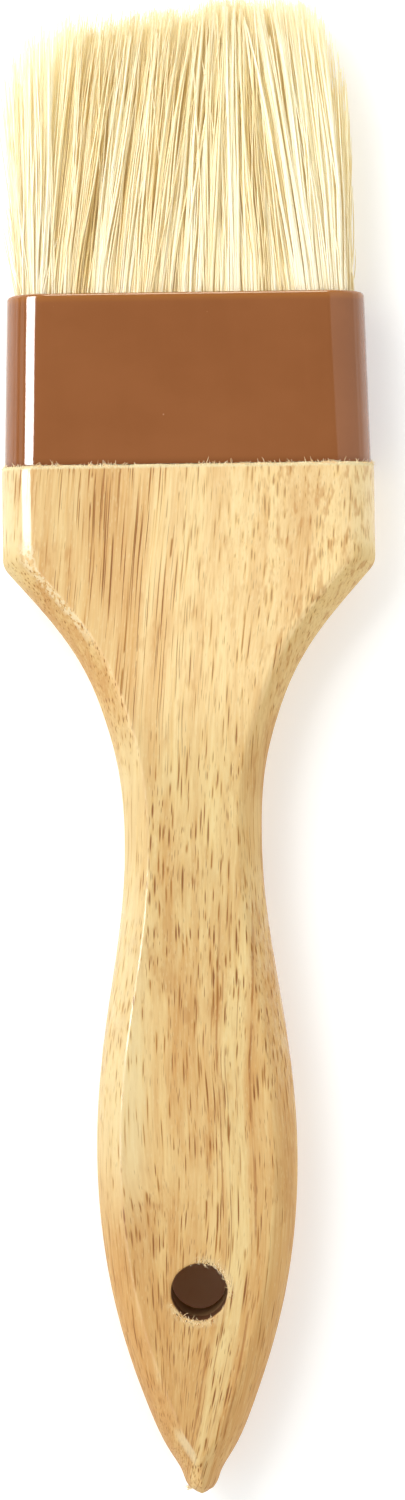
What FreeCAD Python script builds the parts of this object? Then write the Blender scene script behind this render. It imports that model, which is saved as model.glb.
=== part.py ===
"""Flat pastry brush, nominal 2 inch (50 mm) wide, 8 1/2 inch (216 mm) long.

Frame: the brush lies flat on its rear face.  +X is across the width, +Y runs from the
tip of the handle to the bristle ends, +Z is up out of the front face.  The origin is
the middle of the bounding box in X and Y, on the plane that the brush lies on.
All lengths are in millimetres.
"""
import FreeCAD, Part
import math
import os
from FreeCAD import Vector as V

os.makedirs("parts", exist_ok=True)

# ---------------------------------------------------------------- driving dimensions
Y_TIP = -108.0          # blunt end of the handle
Y_TOP = 108.0           # longest bristle ends
Y_WOOD = 40.6           # shoulder of the wood, where the ferrule begins
Y_MOUTH = 65.4          # mouth of the ferrule
THICK = 14.0            # wood, front face to rear face
Z_MID = THICK / 2.0

HEAD_W = 54.0           # width of the broad head
HEAD_R = 5.6            # rounded long edges of the head
EASE = 0.35             # eased end edge of the wood against the ferrule
EASE_L = 1.4

ROUND_IN = 3.5          # width of the shaped round-over along the outline
HOLE_R = 4.0            # hang hole, 8 mm
HOLE_Y = -78.5
HOLE_RIM = 0.25         # eased rim of the hole
OVER = 0.3              # how far the cutter's curve runs past the flat faces

FER_W_WOOD, FER_T_WOOD = 53.1, 13.8     # ferrule, outside, at the wood
FER_W_MOUTH, FER_T_MOUTH = 51.8, 13.0   # ferrule, outside, at the mouth
FER_R = 5.6             # outside corner
FER_WALL = 1.2
LIP = 0.4               # rounded mouth edge

TENON_W, TENON_T, TENON_R = 49.6, 10.4, 4.0
TENON_L = 8.0
FILM = 0.03             # gap kept between pieces that lie against each other
RESIN_Y0, RESIN_Y1 = 49.0, 55.0
STRIP_W, STRIP_T, STRIP_Y1 = 44.0, 2.0, 62.5

ROOT_W, ROOT_T, ROOT_R = 48.6, 10.2, 4.2
FLEX_ABOVE_MOUTH = 6.0  # flexing axis, a seventh of the free length above the mouth
FLEX_DEG = 45.0
FIELD_T = 10.4          # thickness of the pack at the flexing axis
CLEAR = 0.3             # gap between the held and the free part of the pack
SPLIT = 0.02            # half gap between the front and rear rows

Y_FLEX = Y_MOUTH + FLEX_ABOVE_MOUTH
FIELD_R = FIELD_T / 2.0
SADDLE_R = FIELD_R + CLEAR
Y_ROOT_TOP = Y_FLEX - FIELD_R * math.sin(math.radians(FLEX_DEG)) - CLEAR

# half width of the handle's outline, from the blunt tip up through the shoulders
OUTLINE = [
    (-108.0, 1.30), (-107.4, 1.85), (-105.2, 2.85), (-102.3, 4.55), (-99.4, 6.10),
    (-95.0, 7.90), (-89.2, 9.95), (-83.4, 11.62), (-77.6, 12.90), (-71.8, 13.80),
    (-66.0, 14.36), (-60.2, 14.58), (-54.3, 14.47), (-48.5, 14.05), (-42.7, 13.38),
    (-36.9, 12.50), (-31.1, 11.55), (-25.3, 10.72), (-19.5, 10.18), (-13.7, 9.98),
    (-7.9, 10.15), (-2.0, 10.92), (3.8, 12.45), (9.6, 14.65), (15.4, 18.0),
    (21.2, 22.6), (25.6, 26.5), (29.5, 30.0), (33.0, 33.2),
]
# the free pack's top edge, from left to right (left corner splayed and shorter)
TOP_EDGE = [
    (-26.0, 95.6), (-24.6, 98.9), (-22.4, 101.6), (-18.6, 103.6), (-12.0, 104.9), (-4.7, 106.6),
    (7.0, 107.9), (13.0, 108.0), (17.5, 107.4), (21.3, 104.4), (23.4, 99.6), (24.5, 93.5),
]


# ---------------------------------------------------------------- small helpers
def rounded_wire(w, t, r, y, cx=0.0):
    """Closed rounded rectangle w by t with corner radius r, in the plane Y = y."""
    hw, ht = w / 2.0, t / 2.0
    k = r * (1.0 - math.sqrt(0.5))

    def p(x, z):
        return V(cx + x, y, Z_MID + z)

    edges = [
        Part.makeLine(p(-hw + r, -ht), p(hw - r, -ht)),
        Part.Arc(p(hw - r, -ht), p(hw - k, -ht + k), p(hw, -ht + r)).toShape(),
        Part.makeLine(p(hw, -ht + r), p(hw, ht - r)),
        Part.Arc(p(hw, ht - r), p(hw - k, ht - k), p(hw - r, ht)).toShape(),
        Part.makeLine(p(hw - r, ht), p(-hw + r, ht)),
        Part.Arc(p(-hw + r, ht), p(-hw + k, ht - k), p(-hw, ht - r)).toShape(),
        Part.makeLine(p(-hw, ht - r), p(-hw, -ht + r)),
        Part.Arc(p(-hw, -ht + r), p(-hw + k, -ht + k), p(-hw + r, -ht)).toShape(),
    ]
    return Part.Wire(edges)


def tube_loft(stations, ruled=True):
    return Part.makeLoft([rounded_wire(*s) for s in stations], True, ruled)


def box(x0, x1, y0, y1, z0, z1):
    return Part.makeBox(x1 - x0, y1 - y0, z1 - z0, V(x0, y0, z0))


def lerp_ferrule(y, inside, gap=0.0):
    """Width, thickness and corner of the ferrule's outer or inner wall at height y."""
    f = (y - Y_WOOD) / (Y_MOUTH - Y_WOOD)
    w = FER_W_WOOD + f * (FER_W_MOUTH - FER_W_WOOD)
    t = FER_T_WOOD + f * (FER_T_MOUTH - FER_T_WOOD)
    r = FER_R
    if inside:
        w, t, r = w - 2 * FER_WALL, t - 2 * FER_WALL, r - FER_WALL
    return w - 2 * gap, t - 2 * gap, r - gap, y


def export(shape, name):
    shape = shape.removeSplitter() if shape.ShapeType != "Solid" else shape
    if shape.ShapeType == "Compound" and len(shape.Solids) == 1:
        shape = shape.Solids[0]
    if len(shape.Solids) != 1 or not shape.isValid():
        raise RuntimeError("%s: %d solids, valid %s" % (name, len(shape.Solids), shape.isValid()))
    shape.exportStep("parts/%s.step" % name)
    b = shape.optimalBoundingBox()
    print("%-20s %9.1f mm3  x %.2f..%.2f  y %.2f..%.2f  z %.2f..%.2f" % (
        name, shape.Volume, b.XMin, b.XMax, b.YMin, b.YMax, b.ZMin, b.ZMax))


# ---------------------------------------------------------------- handle
def round_over_section(y, w, slope):
    """Section of everything on the handle's side of its right-hand outline: a convex
    round-over, widest at mid thickness, that the flat faces cut off in a crisp line."""
    h = THICK / 2.0
    s = math.sqrt(1.0 + slope * slope)       # the outline is slanted here, so stretch
    big_r = (h * h + ROUND_IN * ROUND_IN) / (2.0 * ROUND_IN)
    a = math.asin((h + OVER) / big_r)        # runs a little past the faces, which cut it
    n = 10
    pts = []
    for i in range(-n, n + 1):
        ang = a * i / n
        pts.append(V(w - big_r * (1.0 - math.cos(ang)) * s, y, Z_MID + big_r * math.sin(ang)))
    side = Part.BSplineCurve()
    side.interpolate(pts)
    far_top = V(-60.0, y, pts[-1].z)
    far_bot = V(-60.0, y, pts[0].z)
    return Part.Wire([side.toShape(), Part.makeLine(pts[-1], far_top),
                      Part.makeLine(far_top, far_bot), Part.makeLine(far_bot, pts[0])])


curve = Part.BSplineCurve()
curve.interpolate([V(w, y, 0) for y, w in OUTLINE])
sections = []
N_SEC = 46
for i in range(N_SEC):
    u = i / (N_SEC - 1.0)
    u = u + 0.10 * math.sin(2 * math.pi * u) / (2 * math.pi)   # closer together at the ends
    u = curve.FirstParameter + (curve.LastParameter - curve.FirstParameter) * min(max(u, 0.0), 1.0)
    p = curve.value(u)
    t = curve.tangent(u)[0]
    slope = t.x / t.y if abs(t.y) > 1e-6 else 0.0
    sections.append(round_over_section(p.y, p.x, max(min(slope, 1.2), -1.2)))
right = Part.makeLoft(sections, True, False)
left = right.mirror(V(0, 0, 0), V(1, 0, 0))

Y_JOIN = 31.5
bar_low = tube_loft([(HEAD_W, THICK, HEAD_R, Y_TIP - 1.0), (HEAD_W, THICK, HEAD_R, Y_JOIN)])
bar_top = tube_loft([(HEAD_W, THICK, HEAD_R, Y_JOIN), (HEAD_W, THICK, HEAD_R, Y_WOOD - EASE_L)])
bar_end = tube_loft([(HEAD_W, THICK, HEAD_R, Y_WOOD - EASE_L),
                     (HEAD_W - 2 * EASE, THICK - 2 * EASE, HEAD_R - EASE, Y_WOOD)])
tenon = tube_loft([(TENON_W, TENON_T, TENON_R, Y_WOOD), (TENON_W, TENON_T, TENON_R, Y_WOOD + TENON_L)])
handle = bar_low.common(right).common(left)
handle = handle.fuse([bar_top, bar_end, tenon]).removeSplitter()
bore = Part.makeCylinder(HOLE_R, THICK + 2.0, V(0, HOLE_Y, -1.0), V(0, 0, 1))
rims = [
    Part.makeCone(HOLE_R + HOLE_RIM, HOLE_R, HOLE_RIM, V(0, HOLE_Y, 0), V(0, 0, 1)),
    Part.makeCone(HOLE_R + HOLE_RIM, HOLE_R, HOLE_RIM, V(0, HOLE_Y, THICK), V(0, 0, -1)),
]
handle = handle.cut([bore] + rims)
export(handle, "handle")

# ---------------------------------------------------------------- ferrule
outer = tube_loft([lerp_ferrule(Y_WOOD + 0.02, False), lerp_ferrule(Y_MOUTH - LIP, False)])
w, t, r, _ = lerp_ferrule(Y_MOUTH, False)
lip = tube_loft([lerp_ferrule(Y_MOUTH - LIP, False),
                 (w - 0.15, t - 0.15, r - 0.07, Y_MOUTH - 0.5 * LIP),
                 (w - 2 * LIP * 0.8, t - 2 * LIP * 0.8, r - LIP * 0.8, Y_MOUTH)], True)
inner = tube_loft([lerp_ferrule(Y_WOOD - 1.0, True), lerp_ferrule(Y_MOUTH + 1.0, True)])
ferrule = outer.fuse(lip).removeSplitter().cut(inner)
export(ferrule, "ferrule")

# ---------------------------------------------------------------- hidden root pieces
tenon_cut = tube_loft([(TENON_W + 2 * FILM, TENON_T + 2 * FILM, TENON_R + FILM, Y_WOOD - 1.0),
                       (TENON_W + 2 * FILM, TENON_T + 2 * FILM, TENON_R + FILM, Y_WOOD + TENON_L + 2.0)])
glue = tube_loft([lerp_ferrule(Y_WOOD + 0.3, True, FILM), lerp_ferrule(Y_WOOD + TENON_L - 0.2, True, FILM)])
export(glue.cut(tenon_cut), "tenon_glue")

resin = tube_loft([lerp_ferrule(RESIN_Y0, True, FILM), lerp_ferrule(RESIN_Y1 - FILM, True, FILM)])
export(resin, "setting_resin")

strip = box(-STRIP_W / 2, STRIP_W / 2, RESIN_Y1, STRIP_Y1, Z_MID - STRIP_T / 2, Z_MID + STRIP_T / 2)
strip = strip.makeFillet(0.4, [e for e in strip.Edges
                               if e.BoundBox.YMin > STRIP_Y1 - 0.01 and e.BoundBox.XLength > 10])
export(strip, "spacer_strip")

strip_cut = box(-STRIP_W / 2 - 0.1, STRIP_W / 2 + 0.1, RESIN_Y1 - 1, STRIP_Y1 + 0.1,
                Z_MID - STRIP_T / 2 - 0.05, Z_MID + STRIP_T / 2 + 0.05)
saddle = Part.makeCylinder(SADDLE_R, 80.0, V(-40.0, Y_FLEX, Z_MID), V(1, 0, 0))
roots = tube_loft([(ROOT_W, ROOT_T, ROOT_R, RESIN_Y1), (ROOT_W, ROOT_T, ROOT_R, Y_ROOT_TOP)])
roots = roots.cut([strip_cut, saddle])
BIG = 200.0
front = box(-BIG, BIG, -BIG, BIG, Z_MID + SPLIT, BIG)
rear = box(-BIG, BIG, -BIG, BIG, -BIG, Z_MID - SPLIT)
export(roots.common(front), "bristle_roots_front")
export(roots.common(rear), "bristle_roots_rear")

# ---------------------------------------------------------------- free length of the pack
knuckle = Part.makeCylinder(FIELD_R, 80.0, V(-40.0, Y_FLEX, Z_MID), V(1, 0, 0))
column = tube_loft([(48.4, FIELD_T, 4.2, Y_FLEX - FIELD_R - 1.0), (48.4, FIELD_T, 4.2, Y_FLEX)])
knuckle = knuckle.common(column)
free = tube_loft([(48.4, FIELD_T, 4.2, Y_FLEX), (48.8, 10.8, 4.4, 84.0, 0.0),
                  (50.0, 10.2, 4.3, 97.0, -0.5), (50.6, 9.0, 4.0, Y_TOP + 1.0, -0.8)])
edge = Part.BSplineCurve()
edge.interpolate([V(x, y, -5.0) for x, y in TOP_EDGE])
x0, y0 = TOP_EDGE[0]
x1, y1 = TOP_EDGE[-1]
outline = Part.Wire([
    edge.toShape(),
    Part.makeLine(V(x1, y1, -5.0), V(x1 + 4.0, y1 - 6.0, -5.0)),
    Part.makeLine(V(x1 + 4.0, y1 - 6.0, -5.0), V(x1 + 4.0, 60.0, -5.0)),
    Part.makeLine(V(x1 + 4.0, 60.0, -5.0), V(x0 - 4.0, 60.0, -5.0)),
    Part.makeLine(V(x0 - 4.0, 60.0, -5.0), V(x0 - 4.0, y0 - 6.0, -5.0)),
    Part.makeLine(V(x0 - 4.0, y0 - 6.0, -5.0), V(x0, y0, -5.0)),
])
outline = Part.Face(outline).extrude(V(0, 0, 30.0))
field = knuckle.fuse(free).removeSplitter().common(outline)
export(field.common(front), "bristle_field_front")
export(field.common(rear), "bristle_field_rear")
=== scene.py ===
"""Flat pastry brush: looks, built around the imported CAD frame.  Lengths in the helper
functions are millimetres and become metres when a mesh is made."""
import bpy
import math
import numpy as np
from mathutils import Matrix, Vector


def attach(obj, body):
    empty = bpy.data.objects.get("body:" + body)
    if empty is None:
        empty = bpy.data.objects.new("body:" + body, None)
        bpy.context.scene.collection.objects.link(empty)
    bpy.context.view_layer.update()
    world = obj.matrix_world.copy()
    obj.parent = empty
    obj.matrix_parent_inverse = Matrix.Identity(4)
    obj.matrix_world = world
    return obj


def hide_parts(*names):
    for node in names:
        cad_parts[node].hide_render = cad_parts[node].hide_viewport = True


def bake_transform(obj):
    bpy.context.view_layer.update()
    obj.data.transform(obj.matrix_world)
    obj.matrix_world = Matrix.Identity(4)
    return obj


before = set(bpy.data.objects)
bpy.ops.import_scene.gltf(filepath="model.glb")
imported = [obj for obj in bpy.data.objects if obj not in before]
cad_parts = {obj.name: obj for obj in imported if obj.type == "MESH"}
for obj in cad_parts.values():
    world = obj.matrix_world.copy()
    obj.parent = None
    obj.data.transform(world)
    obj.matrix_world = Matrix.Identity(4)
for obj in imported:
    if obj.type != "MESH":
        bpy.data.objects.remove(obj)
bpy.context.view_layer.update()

RNG = np.random.default_rng(20417)
MM = 0.001
Z_MID, H = 7.0, 7.0
Y_TIP, Y_WOOD, Y_MOUTH, Y_TOP = -108.0, 40.6, 65.4, 108.0
Y_FLEX = 71.4
HOLE_R, HOLE_Y = 4.0, -78.5
ROUND_IN = 3.5
HEAD_W, HEAD_R = 54.0, 5.6

OUTLINE = [
    (-108.0, 1.30), (-107.4, 1.85), (-105.2, 2.85), (-102.3, 4.55), (-99.4, 6.10),
    (-95.0, 7.90), (-89.2, 9.95), (-83.4, 11.62), (-77.6, 12.90), (-71.8, 13.80),
    (-66.0, 14.36), (-60.2, 14.58), (-54.3, 14.47), (-48.5, 14.05), (-42.7, 13.38),
    (-36.9, 12.50), (-31.1, 11.55), (-25.3, 10.72), (-19.5, 10.18), (-13.7, 9.98),
    (-7.9, 10.15), (-2.0, 10.92), (3.8, 12.45), (9.6, 14.65), (15.4, 18.0),
    (21.2, 22.6), (25.6, 26.5), (29.5, 30.0), (33.0, 33.2), (45.0, 44.0),
]
TOP_EDGE = [
    (-27.0, 96.0), (-26.0, 98.8), (-24.9, 101.2), (-22.8, 104.2), (-19.0, 105.6), (-16.0, 105.8), (-12.0, 105.8), (-8.0, 106.6),
    (-4.6, 107.5), (3.0, 108.2), (10.0, 108.4), (15.0, 108.3), (17.5, 107.9), (19.2, 107.2), (21.0, 104.6), (22.4, 101.0), (23.6, 96.5), (24.6, 92.0),
]


# ---------------------------------------------------------------- numeric helpers
def smoothstep(a, b, x):
    t = np.clip((x - a) / (b - a), 0.0, 1.0)
    return t * t * (3.0 - 2.0 * t)


def spline(points):
    """Natural cubic spline through (t, v) pairs; returns f(t) and f'(t)."""
    t = np.array([p[0] for p in points], float)
    v = np.array([p[1] for p in points], float)
    n = len(t)
    h = np.diff(t)
    a = np.zeros((n, n))
    b = np.zeros(n)
    a[0, 0] = a[-1, -1] = 1.0
    for i in range(1, n - 1):
        a[i, i - 1], a[i, i], a[i, i + 1] = h[i - 1], 2 * (h[i - 1] + h[i]), h[i]
        b[i] = 6 * ((v[i + 1] - v[i]) / h[i] - (v[i] - v[i - 1]) / h[i - 1])
    m = np.linalg.solve(a, b)

    def f(x, d=0):
        x = np.asarray(x, float)
        i = np.clip(np.searchsorted(t, x) - 1, 0, n - 2)
        hi, l, r = h[i], t[i + 1] - x, x - t[i]
        if d == 0:
            return ((m[i] * l ** 3 + m[i + 1] * r ** 3) / (6 * hi)
                    + (v[i] / hi - m[i] * hi / 6) * l + (v[i + 1] / hi - m[i + 1] * hi / 6) * r)
        return (-m[i] * l ** 2 + m[i + 1] * r ** 2) / (2 * hi) - (v[i] / hi - m[i] * hi / 6) + (v[i + 1] / hi - m[i + 1] * hi / 6)
    return f


def gauss_kernel(sigma, step):
    r = max(1, int(math.ceil(3 * sigma / step)))
    k = np.exp(-0.5 * (np.arange(-r, r + 1) * step / sigma) ** 2)
    return k / k.sum(), r


def value_noise(x, y, z, seed):
    """Smooth lattice noise in [-1, 1], the same each run."""
    xi, yi, zi = np.floor(x).astype(np.int64), np.floor(y).astype(np.int64), np.floor(z).astype(np.int64)
    fx, fy, fz = x - xi, y - yi, z - zi
    fx, fy, fz = [f * f * (3 - 2 * f) for f in (fx, fy, fz)]

    def hsh(a, b, c):
        n = (a * 374761393 + b * 668265263 + c * 2147483647 + seed * 144665) & 0xFFFFFFFF
        n = ((n ^ (n >> 13)) * 1274126177) & 0xFFFFFFFF
        n = n ^ (n >> 16)
        return (n & 0xFFFF) / 32767.5 - 1.0
    out = 0.0
    for dx in (0, 1):
        for dy in (0, 1):
            for dz in (0, 1):
                w = (fx if dx else 1 - fx) * (fy if dy else 1 - fy) * (fz if dz else 1 - fz)
                out = out + w * hsh(xi + dx, yi + dy, zi + dz)
    return out


def new_mesh(name, verts, faces, smooth=True):
    """verts in millimetres, faces as an (n, k) array or a list of index tuples."""
    me = bpy.data.meshes.new(name)
    me.from_pydata((np.asarray(verts, float) * MM).tolist(), [], [tuple(int(i) for i in f) for f in faces])
    me.validate(clean_customdata=False)
    if smooth:
        me.polygons.foreach_set("use_smooth", [True] * len(me.polygons))
    me.update()
    ob = bpy.data.objects.new(name, me)
    bpy.context.scene.collection.objects.link(ob)
    return ob


def grid_faces(rows, cols, closed=True, flip=False):
    """Quads of a rows x cols grid, rows joined in order, columns closed into a ring."""
    r = np.arange(rows - 1)[:, None]
    c = np.arange(cols if closed else cols - 1)[None, :]
    c2 = (c + 1) % cols
    q = np.stack([r * cols + c, r * cols + c2, (r + 1) * cols + c2, (r + 1) * cols + c], -1).reshape(-1, 4)
    return q[:, ::-1] if flip else q


# ---------------------------------------------------------------- node helpers
class Mat:
    """Small wrapper for building one node material."""

    def __init__(self, name):
        self.m = bpy.data.materials.new(name)
        self.m.use_nodes = True
        self.t = self.m.node_tree
        self.t.nodes.clear()
        self.out = self.t.nodes.new("ShaderNodeOutputMaterial")
        self.b = self.t.nodes.new("ShaderNodeBsdfPrincipled")
        self.t.links.new(self.b.outputs[0], self.out.inputs[0])
        self.co = self.t.nodes.new("ShaderNodeTexCoord").outputs["Object"]

    def link(self, a, b):
        self.t.links.new(a, b)

    def put(self, sock, v):
        if isinstance(v, bpy.types.NodeSocket):
            self.link(v, sock)
        elif v is not None:
            sock.default_value = v

    def node(self, kind, **props):
        n = self.t.nodes.new(kind)
        for k, v in props.items():
            setattr(n, k, v)
        return n

    def mapping(self, vec=None, scale=(1, 1, 1), rot=(0, 0, 0), loc=(0, 0, 0)):
        n = self.node("ShaderNodeMapping")
        self.link(vec or self.co, n.inputs["Vector"])
        n.inputs["Scale"].default_value = scale
        n.inputs["Rotation"].default_value = rot
        n.inputs["Location"].default_value = loc
        return n.outputs[0]

    def noise(self, vec, scale=1.0, detail=2.0, rough=0.5, dist=0.0, out="Fac"):
        n = self.node("ShaderNodeTexNoise")
        self.link(vec, n.inputs["Vector"])
        n.inputs["Scale"].default_value = scale
        n.inputs["Detail"].default_value = detail
        n.inputs["Roughness"].default_value = rough
        n.inputs["Distortion"].default_value = dist
        return n.outputs[out]

    def voronoi(self, vec, scale=1.0, feature="F1", rand=1.0, out="Distance"):
        n = self.node("ShaderNodeTexVoronoi", feature=feature)
        self.link(vec, n.inputs["Vector"])
        n.inputs["Scale"].default_value = scale
        n.inputs["Randomness"].default_value = rand
        return n if out is None else n.outputs[out]

    def math(self, op, a, b=None, c=None, clamp=False):
        n = self.node("ShaderNodeMath", operation=op, use_clamp=clamp)
        self.put(n.inputs[0], a)
        self.put(n.inputs[1], b)
        if c is not None:
            self.put(n.inputs[2], c)
        return n.outputs[0]

    def step(self, v, a, b, lo=0.0, hi=1.0):
        """Smooth ramp of v from a..b onto lo..hi."""
        n = self.node("ShaderNodeMapRange", interpolation_type="SMOOTHSTEP")
        self.put(n.inputs[0], v)
        for i, x in ((1, a), (2, b), (3, lo), (4, hi)):
            self.put(n.inputs[i], x)
        return n.outputs[0]

    def mix(self, f, a, b, mode="MIX"):
        n = self.node("ShaderNodeMix", data_type="RGBA", blend_type=mode)
        n.clamp_factor = True
        self.put(n.inputs[0], f)
        self.put(n.inputs[6], a if isinstance(a, bpy.types.NodeSocket) else (*a, 1.0) if len(a) == 3 else a)
        self.put(n.inputs[7], b if isinstance(b, bpy.types.NodeSocket) else (*b, 1.0) if len(b) == 3 else b)
        return n.outputs[2]

    def sep(self, v):
        n = self.node("ShaderNodeSeparateXYZ")
        self.link(v, n.inputs[0])
        return n.outputs

    def comb(self, x, y, z):
        n = self.node("ShaderNodeCombineXYZ")
        self.put(n.inputs[0], x), self.put(n.inputs[1], y), self.put(n.inputs[2], z)
        return n.outputs[0]

    def bump(self, height, strength=0.3, dist=0.0001, normal=None):
        n = self.node("ShaderNodeBump")
        n.inputs["Strength"].default_value = strength
        n.inputs["Distance"].default_value = dist
        self.link(height, n.inputs["Height"])
        if normal is not None:
            self.link(normal, n.inputs["Normal"])
        return n.outputs[0]

    def set(self, **kw):
        for k, v in kw.items():
            self.put(self.b.inputs[k.replace("_", " ")], v)


def srgb(r, g, b):
    def f(c):
        c /= 255.0
        return c / 12.92 if c <= 0.04045 else ((c + 0.055) / 1.055) ** 2.4
    return (f(r), f(g), f(b), 1.0)


def seen(r, g, b):
    """Surface colour that shows as this sRGB colour under the studio light."""
    return tuple(c / EXPOSURE for c in srgb(r, g, b)[:3]) + (1.0,)


EXPOSURE = 1.36
WOOD_PALE, WOOD_BROWN = seen(255, 225, 159), seen(232, 185, 117)
WOOD_DARK, WOOD_LIGHT = seen(208, 154, 86), seen(255, 239, 184)
FERRULE_A, FERRULE_B, FERRULE_C = seen(158, 98, 58), seen(164, 103, 62), seen(170, 109, 67)
HAIR_TAN, HAIR_PALE = srgb(228, 203, 134), srgb(250, 239, 197)
KEY = 2.1


# ---------------------------------------------------------------- materials
def wood_material():
    m = Mat("lacquered_hardwood")
    mm = m.mapping(scale=(1000, 1000, 1000))            # millimetres
    x, y, z = m.sep(mm)

    def mul(a, b):
        return m.math("MULTIPLY", a, b)

    def add(a, b):
        return m.math("ADD", a, b)

    def sub(a, b):
        return m.math("SUBTRACT", a, b)

    # u runs across the grain lines, v runs down into the wood: a vessel is a tube of constant u and v,
    # so it shows as a long line, a dash or a dot by the angle at which the surface cuts it
    drift = m.noise(m.mapping(mm, scale=(1 / 34, 1 / 80, 1 / 30)), 1.0, 2.0, 0.5)
    drift2 = m.noise(m.mapping(mm, scale=(1 / 8, 1 / 24, 1 / 8), loc=(3.1, 0.7, 0)), 1.0, 2.0, 0.5)
    drift3 = m.noise(m.mapping(mm, scale=(1 / 13, 1 / 30, 1 / 13), loc=(6.1, 2.7, 5)), 1.0, 2.0, 0.5)
    lean = mul(y, add(0.060, mul(y, 0.00079)))
    face = m.step(m.math("ABSOLUTE", sub(z, Z_MID)), 6.2, 6.7)
    calm = mul(m.step(x, 10.0, -1.0), m.step(y, -8.0, 6.0))
    low = m.math("MINIMUM", add(y, 55.0), 0.0)
    swing = mul(mul(mul(low, low), 0.00415), m.step(x, -7.0, -1.0))
    u = add(sub(x, lean), swing)
    u = add(u, add(mul(sub(drift, 0.5), 4.4), mul(sub(drift2, 0.5), add(1.7, mul(calm, -1.35)))))
    up = m.math("MAXIMUM", y, 0.0)
    left = m.step(x, 9.0, -4.0)
    right = m.step(x, 4.0, 16.0)
    dive = add(mul(y, 0.075), mul(up, add(mul(left, -0.058), mul(right, 0.045))))
    v = add(sub(z, dive), mul(sub(drift3, 0.5), sub(add(2.6, mul(calm, -2.0)), m.step(y, -2.0, -18.0, 0.0, 1.0))))
    g = m.comb(u, y, v)
    head = m.step(y, -2.0, 14.0)
    # wide bands of paler and browner wood
    band = m.noise(m.mapping(g, scale=(1 / 5.0, 1 / 75, 1 / 6)), 1.0, 3.0, 0.55)
    band2 = m.noise(m.mapping(g, scale=(1 / 1.5, 1 / 44, 1 / 1.8), loc=(7, 1, 3)), 1.0, 3.0, 0.6)
    fine = m.noise(m.mapping(g, scale=(1 / 0.30, 1 / 8, 1 / 0.36), loc=(2, 5, 1)), 1.0, 3.0, 0.65)
    blotch = m.noise(m.mapping(mm, scale=(1 / 8, 1 / 13, 1 / 8), loc=(1, 9, 4)), 1.0, 3.0, 0.55)
    tone = add(mul(band, 0.55), mul(band2, 0.45))
    tone = add(tone, mul(mul(left, head), -0.055))
    tone = add(tone, mul(m.step(x, -10.0, 0.0), mul(head, 0.07)))
    tone = add(tone, mul(m.step(y, 4.0, -30.0), -0.035))
    tone = add(tone, mul(m.step(y, -60.0, -98.0), -0.10))
    tone = add(tone, mul(mul(m.step(m.math("ABSOLUTE", add(x, 1.0)), 9.0, 2.0), head), 0.05))
    # paler sapwood streak that runs down past the hole to the tip
    ss = m.math("ABSOLUTE", add(sub(u, 7.2), mul(sub(drift2, 0.5), 1.6)))
    streak = mul(m.step(ss, 2.1, 1.0), m.step(y, -18.0, -42.0))
    tone = add(tone, mul(streak, 0.15))
    col = m.mix(m.step(tone, 0.33, 0.63), WOOD_BROWN, WOOD_PALE)
    col = m.mix(mul(m.step(fine, 0.47, 0.70), 0.30), col, WOOD_DARK)
    col = m.mix(mul(m.step(fine, 0.50, 0.28), 0.25), col, WOOD_LIGHT)
    col = m.mix(mul(mul(m.step(blotch, 0.50, 0.70), 0.34), m.step(head, 1.0, 0.0, 0.55, 1.0)), col, WOOD_DARK)
    # the long sides of the head are paler: a little on both sides where sanded, and much more on the left, painted
    # light for the left side lit by the key light and the floor
    col = m.mix(mul(mul(m.step(m.math("ABSOLUTE", x), 22.6, 25.6), head), m.step(x, -5.0, 5.0, 0.50, 0.12)), col, WOOD_LIGHT)
    # hard brown lines beside the pale streak
    for at, wide in ((3.9, 0.13), (4.75, 0.22), (5.45, 0.12), (6.1, 0.15), (9.6, 0.26), (7.6, 0.10)):
        ln = m.step(m.math("ABSOLUTE", add(sub(u, at), mul(sub(drift3, 0.5), 0.8))), wide, wide * 0.25)
        ln = mul(mul(ln, m.step(y, -20.0, -30.0)), m.step(m.noise(m.mapping(g, scale=(1 / 3, 1 / 9, 1 / 3), loc=(at, 0, 0)), 1.0, 2.0, 0.5), 0.44, 0.56))
        col = m.mix(mul(ln, 0.62), col, seen(180, 120, 60))
    # mottled figure: short brown patches at the right of the head and here and there in the grip
    mot = m.noise(m.mapping(g, scale=(1 / 0.95, 1 / 3.4, 1 / 1.2), loc=(9, 9, 2)), 1.0, 2.0, 0.55)
    where = m.math("MAXIMUM", mul(m.step(x, 5.0, 14.0), head), mul(m.step(blotch, 0.46, 0.60), 0.65))
    col = m.mix(mul(mul(m.step(mot, 0.53, 0.70), where), 0.55), col, seen(204, 144, 74))
    # pale short flecks across the fibres
    ray = m.voronoi(m.mapping(g, scale=(1 / 0.45, 1 / 1.5, 1 / 0.45), loc=(11, 0, 0)), 1.0)
    col = m.mix(mul(m.step(ray, 0.30, 0.12), 0.20), col, WOOD_LIGHT)
    lift = mul(m.step(y, -6.0, 12.0), m.step(x, -16.0, -3.0, 0.50, 1.0))
    lift = mul(lift, m.math("MAXIMUM", face, mul(m.step(y, 27.0, 31.0), 0.7)))
    col = m.mix(lift, col, (1.14, 1.14, 1.23), "MULTIPLY")
    below = mul(sub(1.0, face), m.step(y, 30.0, 26.0))
    col = m.mix(mul(below, m.step(y, -30.0, -10.0, 0.35, 0.85)), col, (0.94, 0.87, 0.79), "MULTIPLY")
    honey = sub(1.0, mul(streak, 0.8))
    col = m.mix(mul(m.step(y, -20.0, -40.0), honey), col, (1.01, 0.965, 0.93), "MULTIPLY")
    col = m.mix(mul(m.step(y, -54.0, -72.0), honey), col, (0.965, 0.94, 0.905), "MULTIPLY")
    # the grip's left side is made paler toward its edge
    grip_left_pale = mul(m.step(x, -5.5, -9.5), mul(m.step(y, 10.0, -6.0), m.step(y, -76.0, -54.0)))
    col = m.mix(mul(grip_left_pale, 0.55), col, seen(255, 236, 182))
    dens = m.noise(m.mapping(g, scale=(1 / 5, 1 / 24, 1 / 5), loc=(4, 4, 8)), 1.0, 2.0, 0.5)

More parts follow.
